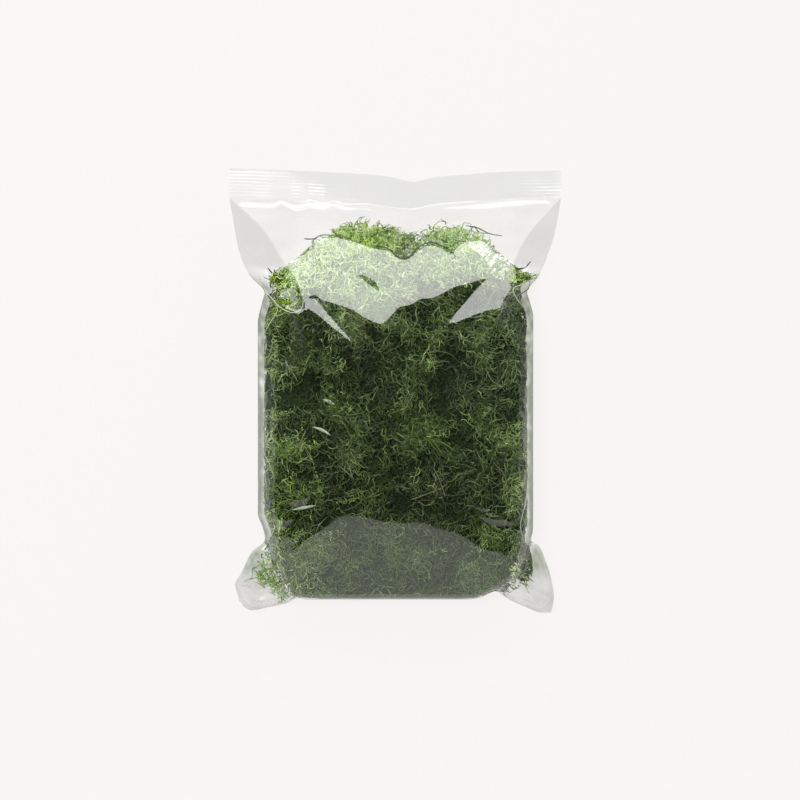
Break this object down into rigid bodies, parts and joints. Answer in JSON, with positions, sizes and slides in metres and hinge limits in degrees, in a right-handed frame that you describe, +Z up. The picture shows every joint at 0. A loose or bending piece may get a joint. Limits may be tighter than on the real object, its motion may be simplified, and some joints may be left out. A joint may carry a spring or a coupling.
{
  "type": "bag of moss",
  "caption": "Clear heat-sealed film bag with a ribbed head seal and splayed foot corners, packed with curly green preserved moss and lying flat on its back.",
  "frame": {"origin": "middle of the bag's outline in plan, on the surface that the bag lies on", "axes": "+X across the bag, +Y along the bag towards the ribbed head seal, +Z up out of the front film"},
  "size_m": [0.18, 0.2394, 0.0511],
  "materials": {
    "moss": "matte, tangled preserved moss",
    "film": "clear glossy thin film",
    "film_seal": "clear film pressed into fine ribs"
  },
  "bodies": {
    "root": {"moss_clump": "moss", "film_front": "film", "film_back": "film", "head_seal": "film_seal"}
  },
  "joints": []
}
